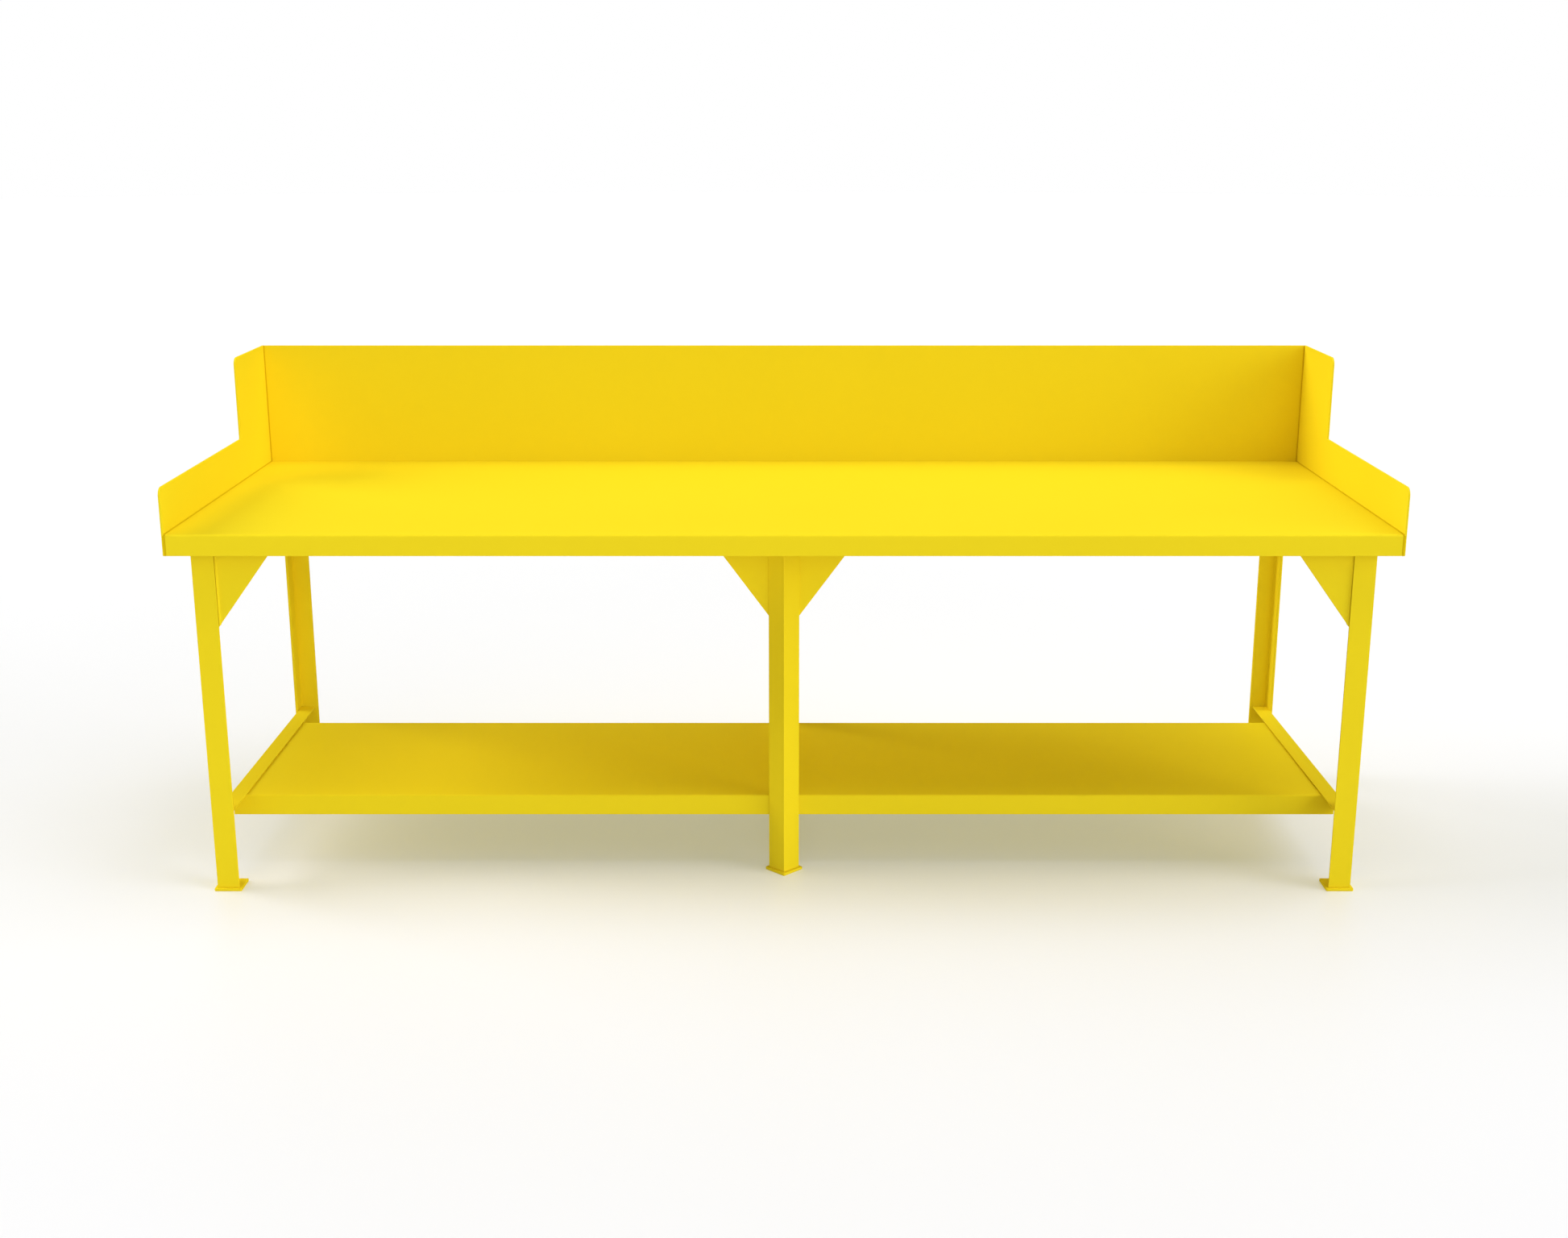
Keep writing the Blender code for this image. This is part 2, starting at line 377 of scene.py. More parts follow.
def folded_sheet(corners: Outline, gauge: float, inside_radius: float, steps: int) -> Outline:
    """Draws the section of a sheet that is folded along straight lines.

    Args:
        corners: the middle of the sheet's thickness, as the corners where its flat parts would meet.
        gauge: the sheet's thickness.
        inside_radius: the radius inside each fold.
        steps: straight runs in each fold.

    Returns:
        The outline, down one side of the sheet and back up the other.
    """
    middle_radius = inside_radius + gauge / 2
    points = [Vector(corner) for corner in corners]
    heading = (points[1] - points[0]).normalized()
    stations = [(points[0], heading)]
    for index in range(1, len(points) - 1):
        next_heading = (points[index + 1] - points[index]).normalized()
        turn = math.atan2(heading.cross(next_heading), heading.dot(next_heading))
        start = points[index] - heading * middle_radius * math.tan(abs(turn) / 2)
        side = math.copysign(middle_radius, turn)
        centre = start + Vector((-heading.y, heading.x)) * side
        for step in range(steps + 1):
            turned = heading.copy()
            turned.rotate(Matrix.Rotation(turn * step / steps, 2))
            stations.append((centre - Vector((-turned.y, turned.x)) * side, turned))
        heading = next_heading
    stations.append((points[-1], heading))
    left = []
    right = []
    for place, direction in stations:
        across = Vector((-direction.y, direction.x)) * gauge / 2
        left.append(tuple(place + across))
        right.append(tuple(place - across))
    return left + right[::-1]


def rounded_square(side: float, radius: float, steps: int) -> Outline:
    """Draws a square with round corners, centred on the origin.

    Args:
        side: the length of its sides.
        radius: the radius of its corners.
        steps: straight runs in each corner.

    Returns:
        The outline.
    """
    straight = side / 2 - radius
    outline = []
    for turn, (sign_x, sign_y) in enumerate(((1, 1), (-1, 1), (-1, -1), (1, -1))):
        centre = (sign_x * straight, sign_y * straight)
        outline += arc(centre, radius, turn * QUARTER_TURN, QUARTER_TURN, steps)
    return outline


def laid(place: Vector, first: Vector, second: Vector) -> Matrix:
    """Returns the matrix that lays a flat outline at a place, its X along first and its Y along second."""
    turn = Matrix((first, second, first.cross(second))).transposed()
    return Matrix.Translation(place) @ turn.to_4x4()


def prism(name: str, outline: Outline, length: float) -> bpy.types.Mesh:
    """Gives a flat outline a thickness or a length.

    Args:
        name: the mesh's name.
        outline: the points round the outline, in order.
        length: its size along Z, half on each side of the outline.

    Returns:
        A closed mesh, shaded smooth.
    """
    shape = bmesh.new()
    face = shape.faces.new([shape.verts.new((x, y, -length / 2)) for x, y in outline])
    grown = bmesh.ops.extrude_face_region(shape, geom=[face])
    moved = [item for item in grown["geom"] if isinstance(item, bmesh.types.BMVert)]
    bmesh.ops.translate(shape, verts=moved, vec=(0.0, 0.0, length))
    bmesh.ops.recalc_face_normals(shape, faces=shape.faces)
    mesh = bpy.data.meshes.new(name)
    shape.to_mesh(mesh)
    shape.free()
    mesh.shade_smooth()
    return mesh


@dataclass(frozen=True)
class WeldRun:
    """One straight weld bead, laid in the corner where two faces of steel meet.

    Attributes:
        start: the place in the corner where the bead begins.
        end: the place where it ends.
        first: the direction away from the corner along one face.
        second: the same along the other face.
        outward: the direction that the bead swells in, where the two faces lie in one plane.
        leg: how far the bead reaches along each face.
        swell: how far it bulges, against its leg.
        root: how far it reaches back into the joint.
        ripple_length: the distance between its ripples, drawn coarser than the real 2 mm so that they can
            show.
        ripple_height: how much higher a ripple is than the dip behind it, against the leg.
        ripple_steps: straight runs along one ripple.
        least_ripples: the fewest ripples that a bead has.
        lag_share: how far a ripple's middle lags behind its sides, against the ripples' distance.
        face_steps: straight runs across the bead.
        end_share: how full the bead is at its very ends, against its leg.
    """

    start: Vector
    end: Vector
    first: Vector
    second: Vector
    outward: Vector | None = None
    leg: float = 4.0 * MILLIMETRE
    swell: float = 0.16
    root: float = 0.4 * MILLIMETRE
    ripple_length: float = 5.0 * MILLIMETRE
    ripple_height: float = 0.10
    ripple_steps: int = 3
    least_ripples: int = 2
    lag_share: float = 0.4
    face_steps: int = 5
    end_share: float = 0.3

    def stretch(self, shape: bmesh.types.BMesh) -> None:
        """Adds the bead to a mesh, as crescents that lie one behind the other.

        Args:
            shape: the mesh that it is added to.
        """
        length = (self.end - self.start).length
        ripples = max(self.least_ripples, round(length / self.ripple_length))
        stations = ripples * self.ripple_steps
        last = None
        for station in range(stations + 1):
            along = length * station / stations
            ring = [shape.verts.new(place) for place in self.ring(along, length, station)]
            if last is None:
                shape.faces.new(ring)
            else:
                for index in range(len(ring)):
                    shape.faces.new((last[index - 1], last[index], ring[index], ring[index - 1]))
            last = ring
        shape.faces.new(last[::-1])

    def ring(self, along: float, length: float, station: int) -> list[Vector]:
        """Places the points of the bead's outline at one station.

        Args:
            along: how far the station is from the start.
            length: the length of the bead.
            station: the station's number.

        Returns:
            The points across the bead's face, then the one at its root.
        """
        way = (self.end - self.start).normalized()
        outward = self.outward or (self.first + self.second).normalized()
        from_end = min(max(min(along, length - along) / self.leg, 0.0), 1.0)
        rounded = math.sqrt(1 - (1 - from_end) ** 2)
        ripple = abs(math.sin(math.pi * station / self.ripple_steps))
        size = self.leg * max(rounded, self.end_share) * (1 - self.ripple_height * (1 - ripple))
        middle = self.start + way * along
        points = []
        for step in range(self.face_steps + 1):
            share = step / self.face_steps
            bulge = 4 * share * (1 - share)
            face = self.first * (1 - share) + self.second * share
            lag = way * bulge * self.ripple_length * self.lag_share
            points.append(middle + (face + outward * self.swell * bulge) * size - lag)
        points.append(middle - outward * self.root)
        return points


def stitches(run: WeldRun, count: int, length: float) -> list[WeldRun]:
    """Breaks a long weld into short, evenly spaced beads.

    Args:
        run: the whole weld.
        count: how many beads it is broken into.
        length: the length of each bead.

    Returns:
        The beads, with the first and the last at the ends of the whole weld.
    """
    way = (run.end - run.start).normalized()
    spacing = ((run.end - run.start).length - length) / (count - 1)
    starts = [run.start + way * spacing * index for index in range(count)]
    return [replace(run, start=start, end=start + way * length) for start in starts]


@dataclass
class SubAssembly:
    """Pieces of the table that are made and painted together.

    Attributes:
        coat: the material on every piece.
        seam_coat: the darker material down in the open seams, painted shade for the seams' shadow.
        slot: the record's slot for the pieces' finish; not used.
        body: the body that they ride on.
        round_steps: straight runs in each small radius of an angle or a foot plate.
        edge_radius: the radius that paint gives a cut edge.
        edge_steps: straight runs across that edge.
        edge_angle: the turn from which an edge counts as cut, in degrees.
        bead_angle: the turn from which the shading of a bead breaks, in degrees.
        faint_ripple: the ripple height of a bead that was laid almost smooth.
    """

    coat: bpy.types.Material
    seam_coat: bpy.types.Material
    slot: str = "yellow_paint"
    body: str = "root"
    round_steps: int = 8
    edge_radius: float = 0.8 * MILLIMETRE
    edge_steps: int = 3
    edge_angle: float = 40.0
    bead_angle: float = 50.0
    faint_ripple: float = 0.03

    def add(self, node: str, stock: Stock, outline: Outline, length: float, lies: Matrix) -> None:
        """Makes one piece, paints it and puts it on the table in its node's place.

        Args:
            node: the frame's node that the piece stands for.
            stock: the steel that it is cut from.
            outline: its flat outline or its section.
            length: the thickness or the length that the outline is given.
            lies: where the outline lies in the table.
        """
        piece = self.dress(node, stock, prism(f"{node}_{stock.value}", outline, length))
        piece.matrix_world = lies
        edge = piece.modifiers.new("painted_edge", "BEVEL")
        edge.width = self.edge_radius
        edge.segments = self.edge_steps
        edge.limit_method = "ANGLE"
        edge.angle_limit = math.radians(self.edge_angle)
        edge.harden_normals = True

    def weld(self, node: str, runs: list[WeldRun], stock: Stock = Stock.WELD) -> None:
        """Lays the weld beads of one piece and paints them.

        Args:
            node: the frame's node that they belong to.
            runs: the beads.
            stock: the kind of weld metal.
        """
        shape = bmesh.new()
        for run in runs:
            run.stretch(shape)
        bmesh.ops.recalc_face_normals(shape, faces=shape.faces)
        mesh = bpy.data.meshes.new(f"{node}_{stock.value}")
        shape.to_mesh(mesh)
        shape.free()
        mesh.shade_smooth()
        mesh.set_sharp_from_angle(angle=math.radians(self.bead_angle))
        self.dress(node, stock, mesh)

    def dress(self, node: str, stock: Stock, mesh: bpy.types.Mesh) -> bpy.types.Object:
        """Makes an object of a mesh, paints it and ties it to its node.

        Args:
            node: the frame's node that the piece stands for.
            stock: the steel or the weld metal that it is made of.
            mesh: its shape.

        Returns:
            The painted piece.
        """
        name = f"{node}_{stock.value}"
        piece = bpy.data.objects.new(name, mesh)
        bpy.context.scene.collection.objects.link(piece)
        # Seam pieces and the flush front-corner weld take the darker coat, painted shade for the seams.
        in_seam = stock in (Stock.SEAM, Stock.SEAM_WELD, Stock.FLUSH_WELD)
        piece.data.materials.append(self.seam_coat if in_seam else self.coat)
        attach(piece, self.body)
        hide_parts(node)
        log.info("%s stands for %s", name, node)
        return piece


@dataclass
class SheetWork(SubAssembly):
    """Pieces with folded sheet among them, held along their long joints by short beads.

    Attributes:
        gauge: the sheet's thickness.
        fold_radius: the radius inside a fold.
        fold_steps: straight runs in a fold or a round corner.
        stitch_count: how many short beads hold a long joint.
        stitch_length: the length of each of them.
        seam: the open line that is left along a welded seam.
        seam_depth: how deep that line is, down to the weld at its bottom.
    """

    gauge: float = 4.8 * MILLIMETRE
    fold_radius: float = 1.0 * MILLIMETRE
    fold_steps: int = 16
    stitch_count: int = 5
    stitch_length: float = 50 * MILLIMETRE
    seam: float = 2.4 * MILLIMETRE
    seam_depth: float = 0.6 * MILLIMETRE


@dataclass
class Worktop(SheetWork):
    """The worktop: one sheet with its front edge folded down, and the channels that stiffen it."""

    def build(self) -> None:
        """Builds the sheet and both channels."""
        self.build_sheet()
        for end in End:
            self.build_channel(end)

    def build_sheet(self) -> None:
        """Builds the sheet between the end guards, with a fine open seam at each end."""
        low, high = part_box("worktop")
        front = low.y + self.gauge / 2
        middle = high.z - self.gauge / 2
        corners = [(front, low.z), (front, middle), (high.y, middle)]
        section = folded_sheet(corners, self.gauge, self.fold_radius, self.fold_steps)
        length = high.x - low.x - 2 * self.seam
        self.add("worktop", Stock.SHEET, section, length, laid(Vector(), BACK, UP))

    def build_channel(self, end: End) -> None:
        """Builds one channel under the worktop, from front to back.

        Args:
            end: the half of the table that it is in.
        """
        node = node_name(end, "stiffener")
        low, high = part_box(node)
        half = (high.x - low.x - self.gauge) / 2
        height = high.z - low.z
        web = self.gauge / 2
        corners = [(-half, height), (-half, web), (half, web), (half, height)]
        section = folded_sheet(corners, self.gauge, self.fold_radius, self.fold_steps)
        place = Vector(((low.x + high.x) / 2, (low.y + high.y) / 2, low.z))
        self.add(node, Stock.CHANNEL, section, high.y - low.y, laid(place, RIGHT, UP))
        runs = []
        for x, away in ((low.x, -RIGHT), (high.x, RIGHT)):
            whole = WeldRun(Vector((x, low.y, high.z)), Vector((x, high.y, high.z)), away, -UP)
            runs += stitches(whole, self.stitch_count, self.stitch_length)
        self.weld(node, runs)


@dataclass
class Guards(SheetWork):
    """The tall guard along the back and the stepped guard at each end.

    Attributes:
        low_height: how far the low front part of an end guard stands above the worktop.
        tall_length: the length of its tall part, from the rear.
        corner_radius: the radius of the front corners of both parts.
        rear_bead_reach: how far the bead behind an end of the back guard reaches to each side.
        rear_bead_root: how deep it reaches into the seam.
        seam_bead_leg: how far the small bead along the worktop's end reaches over the worktop and the guard.
        flush_rise: how far the ground weld at the front corner stands out of the lip's face.
        stitch_count: how many short beads hold the worktop to the back guard.
        stitch_length: the length of each of them.
    """

    low_height: float = 104.1 * MILLIMETRE
    tall_length: float = 269.0 * MILLIMETRE
    corner_radius: float = 19.0 * MILLIMETRE
    rear_bead_reach: float = 3.2 * MILLIMETRE
    rear_bead_root: float = 2.4 * MILLIMETRE
    seam_bead_leg: float = 1.5 * MILLIMETRE
    flush_rise: float = 0.2 * MILLIMETRE
    stitch_count: int = 9
    stitch_length: float = 60 * MILLIMETRE

    def build(self) -> None:
        """Builds the back guard and both end guards."""
        self.build_back()
        for end in End:
            self.build_end(end)

    def build_back(self) -> None:
        """Builds the back guard between the end guards, with a fine open seam at each end."""
        low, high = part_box("back_guard")
        half = high.x - self.seam
        outline = [(-half, low.z), (half, low.z), (half, high.z), (-half, high.z)]
        place = BACK * (low.y + high.y) / 2
        self.add("back_guard", Stock.PLATE, outline, high.y - low.y, laid(place, RIGHT, UP))
        runs = []
        for x in (low.x, high.x):
            bottom = Vector((x, high.y, low.z))
            top = Vector((x, high.y, high.z))
            runs.append(WeldRun(
                bottom, top, -RIGHT, RIGHT, BACK, self.rear_bead_reach, root=self.rear_bead_root
            ))
        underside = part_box("front_left_leg")[1].z
        corner = Vector((0.0, low.y, underside))
        reach = RIGHT * (high.x - 2 * self.stitch_length)
        whole = WeldRun(corner - reach, corner + reach, -BACK, -UP)
        runs += stitches(whole, self.stitch_count, self.stitch_length)
        self.weld("back_guard", runs)

    def build_end(self, end: End) -> None:
        """Builds one end guard.

        Args:
            end: the end of the table that it closes.
        """
        node = node_name(end, "end_guard")
        low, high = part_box(node)
        low_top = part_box("worktop")[1].z + self.low_height
        step = high.y - self.tall_length
        radius = self.corner_radius
        tall_corner = (step + radius, high.z - radius)
        low_corner = (low.y + radius, low_top - radius)
        outline = [(low.y, low.z), (high.y, low.z), (high.y, high.z)]
        outline += arc(tall_corner, radius, QUARTER_TURN, QUARTER_TURN, self.fold_steps)
        outline.append((step, low_top))
        outline += arc(low_corner, radius, QUARTER_TURN, QUARTER_TURN, self.fold_steps)
        place = RIGHT * (low.x + high.x) / 2
        self.add(node, Stock.PLATE, outline, high.x - low.x, laid(place, BACK, UP))
        sheet_low, sheet_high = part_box("worktop")
        inside = end.inner((low, high))
        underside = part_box("front_left_leg")[1].z
        behind_lip = sheet_low.y + sheet_high.z - underside
        corner = Vector((inside, behind_lip, underside))
        rear = Vector((inside, sheet_high.y, underside))
        foot = Vector((inside, behind_lip, sheet_low.z))
        inwards = -end.outwards
        self.weld(node, [WeldRun(corner, rear, inwards, -UP), WeldRun(corner, foot, inwards, BACK)])
        self.fill_seam(end)
        self.weld_front_corner(end)

    def weld_front_corner(self, end: End) -> None:
        """Lays the small bead along the worktop's end, and the weld that is ground flush in front of it.

        Args:
            end: the end of the table that they are at.
        """
        node = node_name(end, "end_guard")
        low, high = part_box(node)
        inside = end.inner((low, high))
        sheet_low, sheet_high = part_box("worktop")
        bead = WeldRun(
            Vector((inside, sheet_low.y + self.gauge / 2, sheet_high.z)),
            Vector((inside, sheet_high.y, sheet_high.z)),
            -end.outwards,
            UP,
            leg=self.seam_bead_leg,
            swell=0.0,
            root=self.gauge / 2,
            ripple_height=self.faint_ripple,
        )
        self.weld(node, [bead], Stock.SEAM_WELD)
        seam_edge = end.value * (sheet_high.x - self.seam)
        mid_edge = (low.x + high.x) / 2
        half = abs(mid_edge - seam_edge) / 2
        bottom = sheet_low.z
        top = sheet_high.z - self.gauge / 2
        outline = [(-half, bottom), (half, bottom), (half, top), (-half, top)]
        place = Vector(((mid_edge + seam_edge) / 2, sheet_low.y, 0.0))
        # The flush weld takes the darker seam coat: a painted shade line down the front corner.
        self.add(node, Stock.FLUSH_WELD, outline, 2 * self.flush_rise, laid(place, RIGHT, UP))

    def fill_seam(self, end: End) -> None:
        """Fills the open line between one end guard and the worktop and back guard, down in the line.

        Args:
            end: the end of the table that the line is at.
        """
        node = node_name(end, "end_guard")
        inside = end.inner(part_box(node))
        sheet_low, sheet_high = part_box("worktop")
        back_low, back_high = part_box("back_guard")
        front = sheet_low.y + self.gauge / 2
        middle = sheet_high.z - self.gauge / 2
        rear = (back_low.y + back_high.y) / 2
        top = back_high.z - self.seam_depth
        corners = [(front, sheet_low.z), (front, middle), (rear, middle), (rear, top)]
        section = folded_sheet(
            corners, self.gauge - 2 * self.seam_depth, self.fold_radius + self.seam_depth, self.fold_steps
        )
        width = inside - end.value * (sheet_high.x - self.seam)
        # The fill takes the darker seam coat, painted shade down in the open line.
        self.add(node, Stock.SEAM, section, abs(width), laid(RIGHT * (inside - width / 2), BACK, UP))


@dataclass
class Legs(SubAssembly):
    """The six legs of steel angle with the flat plates that they stand on.

    Attributes:
        thickness: the angle's thickness.
        root_radius: the radius between its flanges.
        toe_radius: the radius at the inner edge of each flange.
        foot_corner_radius: the radius of a foot plate's corners.
    """

    thickness: float = 6.4 * MILLIMETRE
    root_radius: float = 6.4 * MILLIMETRE
    toe_radius: float = 3.2 * MILLIMETRE
    foot_corner_radius: float = 3.0 * MILLIMETRE

    def build(self) -> None:
        """Builds every leg and its foot plate."""
        for row in Row:
            for end in End:
                self.build_corner(row, end)
            self.build_centre(row)

    def width(self) -> float:
        """Returns the width of the angle's flanges, which a corner leg shows square on."""
        low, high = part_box("front_left_leg")
        return high.x - low.x

    def section(self) -> Outline:
        """Returns the angle's section, with its heel at the origin."""
        return rolled_angle(
            self.width(), self.thickness, self.root_radius, self.toe_radius, self.round_steps
        )

    def build_corner(self, row: Row, end: End) -> None:
        """Builds a corner leg, its heel outwards, and its foot plate.

        Args:
            row: the long side that it stands at.
            end: the end that it stands at.
        """
        node = node_name(row, end, "leg")
        low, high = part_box(node)
        heel = Vector((end.outer((low, high)), row.outer((low, high)), (low.z + high.z) / 2))
        inwards = -end.outwards
        along = -row.outwards
        if inwards.cross(along).z < 0:
            inwards, along = along, inwards
        self.add(node, Stock.ANGLE, self.section(), high.z - low.z, laid(heel, inwards, along))
        self.weld_leg(node, heel, inwards, along)
        self.build_foot(node_name(row, end, "foot_pad"), RIGHT, BACK)

    def build_centre(self, row: Row) -> None:
        """Builds a centre leg, turned so that its heel points out of the table, and its foot plate.

        Args:
            row: the long side that it stands at.
        """
        node = node_name(row, "centre_leg")
        low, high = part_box(node)
        heel = Vector((0.0, row.outer((low, high)), (low.z + high.z) / 2))
        inwards = -row.outwards
        first = (inwards + inwards.cross(UP)).normalized()
        second = (inwards - inwards.cross(UP)).normalized()
        self.add(node, Stock.ANGLE, self.section(), high.z - low.z, laid(heel, first, second))
        self.weld_leg(node, heel, first, second)
        self.build_foot(node_name(row, "centre_foot_pad"), first, second)

    def weld_leg(self, node: str, heel: Vector, first: Vector, second: Vector) -> None:
        """Welds a leg to the worktop, outside its flanges, and to its foot plate, inside them.

        Args:
            node: the leg's node.
            heel: the middle of the edge where its flanges meet.
            first: the direction of one flange.
            second: the direction of the other.
        """
        low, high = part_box(node)
        width = self.width()
        root = self.thickness + self.root_radius
        toe = width - self.toe_radius
        top = Vector((heel.x, heel.y, high.z))
        bottom = Vector((heel.x, heel.y, low.z))
        runs = []
        for flange, other in ((first, second), (second, first)):
            runs.append(WeldRun(top, top + flange * width, -other, -UP))
            inside = bottom + other * self.thickness
            runs.append(WeldRun(inside + flange * root, inside + flange * toe, other, UP))
        self.weld(node, runs)

    def build_foot(self, node: str, first: Vector, second: Vector) -> None:
        """Builds one foot plate.

        Args:
            node: the frame's node that it stands for.
            first: the direction of one of its sides.
            second: the direction of the side next to it.
        """
        square_low, square_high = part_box("front_left_foot_pad")
        side = square_high.x - square_low.x
        low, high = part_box(node)
        outline = rounded_square(side, self.foot_corner_radius, self.round_steps)
        self.add(node, Stock.PLATE, outline, high.z - low.z, laid((low + high) / 2, first, second))


@dataclass
class Gussets(SubAssembly):
    """The eight gussets that brace the legs to the worktop.

    Attributes:
        tip_width: the width of both cut-off tips.
        corner_clip: how much of the square corner is cut away.
        toe_bead_leg: how far the hollow bead along a corner leg's flange reaches over the gusset.
        toe_bead_swell: how far that bead bulges, against its leg, less than nothing as it is hollow.
        toe_bead_lift: how far above the gusset's tip it begins.
        toe_slot: the open line between the flange's edge and that bead.
        turned_bead_leg: how far the bead in the notch beside a centre leg's flange reaches.
        turned_bead_lift: how far above the gusset's tip it begins.
    """

    tip_width: float = 6.4 * MILLIMETRE
    corner_clip: float = 19.0 * MILLIMETRE
    toe_bead_leg: float = 4.6 * MILLIMETRE
    toe_bead_swell: float = -0.20
    toe_bead_lift: float = 11.0 * MILLIMETRE
    toe_slot: float = 1.0 * MILLIMETRE
    turned_bead_leg: float = 4.2 * MILLIMETRE
    turned_bead_lift: float = 2.0 * MILLIMETRE

    def build(self) -> None:
        """Builds the gussets of the corner legs and of the centre legs."""
        for row in Row:
            inwards = -row.outwards
            for end in End:
                along_turned = -(inwards + end.outwards).normalized()
                corner = node_name(row, end, "gusset")
                centre = node_name(row, "centre", end, "gusset")
                self.build_gusset(corner, -end.value, inwards, end.outwards, self.toe_bead(row, end))
                self.build_gusset(centre, end.value, inwards, along_turned, self.turned_toe_bead(row, end))

    def turned_toe_bead(self, row: Row, end: End) -> WeldRun:
        """Works out the bead that fills the notch between a centre leg's flange edge and its gusset.

        Args:
            row: the long side that the leg stands at.
            end: the end that the flange and the gusset point to.

        Returns:
            The bead.
        """
        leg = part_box(node_name(row, "centre_leg"))
        low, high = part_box(node_name(row, "centre", end, "gusset"))
        edge = end.outer(leg)
        face = row.outer((low, high))
        depth = abs(face - row.outer(leg)) - abs(edge)
        notch = edge - end.value * depth
        return WeldRun(
            Vector((notch, face, low.z + self.turned_bead_lift)),
            Vector((notch, face, high.z)),
            end.outwards,
            (row.outwards + end.outwards).normalized(),
            leg=self.turned_bead_leg,
            ripple_height=self.faint_ripple,
        )

    def toe_bead(self, row: Row, end: End) -> WeldRun:
        """Works out the bead along the edge of a corner leg's flange, where the flange lies over its gusset.

        Args:
            row: the long side that the leg stands at.
            end: the end that it stands at.

        Returns:
            The bead.
        """
        low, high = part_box(node_name(row, end, "gusset"))
        toe = end.inner(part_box(node_name(row, end, "leg")))
        foot = toe - end.value * self.toe_slot
        face = row.outer((low, high))
        return WeldRun(
            Vector((foot, face, low.z + self.toe_bead_lift)),
            Vector((foot, face, high.z)),
            -end.outwards,
            row.outwards,
            leg=self.toe_bead_leg,
            swell=self.toe_bead_swell,
            ripple_height=self.faint_ripple,
        )

    def build_gusset(
        self, node: str, way: int, inwards: Vector, along_flange: Vector, outer_bead: WeldRun
    ) -> None:
        """Builds one gusset, its square corner at the leg.

        Args:
            node: the frame's node that it stands for.
            way: 1 if it points to the right of its leg, and -1 if it points to the left.
            inwards: the direction from its long side of the table to the middle.
            along_flange: the direction along the leg's flange, away from the gusset.
            outer_bead: the bead on its outer face.
        """
        low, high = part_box(node)
        width = high.x - low.x
        height = high.z - low.z
        outline = [
            (self.corner_clip, 0.0),
            (0.0, -self.corner_clip),
            (0.0, -height),
            (self.tip_width, -height),
            (width, -self.tip_width),
            (width, 0.0),
        ]
        corner = Vector((low.x if way > 0 else high.x, (low.y + high.y) / 2, high.z))
        self.add(node, Stock.PLATE, outline, high.y - low.y, laid(corner, way * RIGHT, UP))
        half = (high.y - low.y) / 2
        at_flange = corner - inwards * half
        inner_face = corner + inwards * half
        across = way * RIGHT
        self.weld(node, [
            WeldRun(at_flange - UP * self.corner_clip, at_flange - UP * height, along_flange, inwards),
            WeldRun(inner_face + across * self.corner_clip, inner_face + across * width, inwards, -UP),
            outer_bead,
        ])


@dataclass
class LowerShelf(SheetWork):
    """The lower shelf, one sheet folded down at the front and the rear, and the rails over its ends.

    Attributes:
        gauge: the sheet's thickness, less than the worktop's.
        rail_thickness: the thickness of the rails' angle.
        rail_root_radius: the radius between its flanges.
        rail_toe_radius: the radius at the inner edge of each flange.
        end_reach: how far the sheet runs on at each end, up to the rail's root.
    """

    gauge: float = 2.7 * MILLIMETRE
    rail_thickness: float = 3.2 * MILLIMETRE
    rail_root_radius: float = 1.6 * MILLIMETRE
    rail_toe_radius: float = 1.6 * MILLIMETRE
    end_reach: float = 1.5 * MILLIMETRE

    def build(self) -> None:
        """Builds the sheet and both rails."""
        self.build_sheet()
        for end in End:
            self.build_rail(end)

    def build_sheet(self) -> None:
        """Builds the shelf's sheet."""
        low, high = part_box("lower_shelf")
        front = low.y + self.gauge / 2
        rear = high.y - self.gauge / 2
        middle = high.z - self.gauge / 2
        corners = [(front, low.z), (front, middle), (rear, middle), (rear, low.z)]
        section = folded_sheet(corners, self.gauge, self.fold_radius, self.fold_steps)
        half = high.x + self.end_reach
        self.add("lower_shelf", Stock.SHEET, section, 2 * half, laid(Vector(), BACK, UP))
        runs = []
        for end in End:
            x = end.value * half
            whole = WeldRun(Vector((x, low.y, high.z)), Vector((x, high.y, high.z)), -UP, end.outwards)
            runs += stitches(whole, self.stitch_count, self.stitch_length)
            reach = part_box("front_centre_right_gusset")[0].x * end.value
            for row in Row:
                y = row.outer((low, high))
                along_flange = (row.outwards - end.outwards).normalized()
                bottom = Vector((reach, y, low.z))
                top = Vector((reach, y, high.z - self.gauge - self.fold_radius))
                runs.append(WeldRun(bottom, top, along_flange, -end.outwards))
        self.weld("lower_shelf", runs)

    def build_rail(self, end: End) -> None:
        """Builds the rail between the legs at one end.

        Args:
            end: the end of the table that it ties.
        """
        node = node_name(end, "end_rail")
        low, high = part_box(node)
        section = rolled_angle(
            high.x - low.x, self.rail_thickness, self.rail_root_radius, self.rail_toe_radius, self.round_steps
        )
        heel = Vector((end.outer((low, high)), (low.y + high.y) / 2, high.z))
        self.add(node, Stock.ANGLE, section, high.y - low.y, laid(heel, -end.outwards, -UP))
        runs = []
        for row in Row:
            toe = row.inner(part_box(node_name(row, end, "leg")))
            bottom = Vector((heel.x, toe, low.z + self.rail_thickness))
            top = Vector((heel.x, toe, high.z - self.rail_thickness))
            runs.append(WeldRun(bottom, top, -row.outwards, end.outwards, leg=self.rail_thickness))
        self.weld(node, runs)


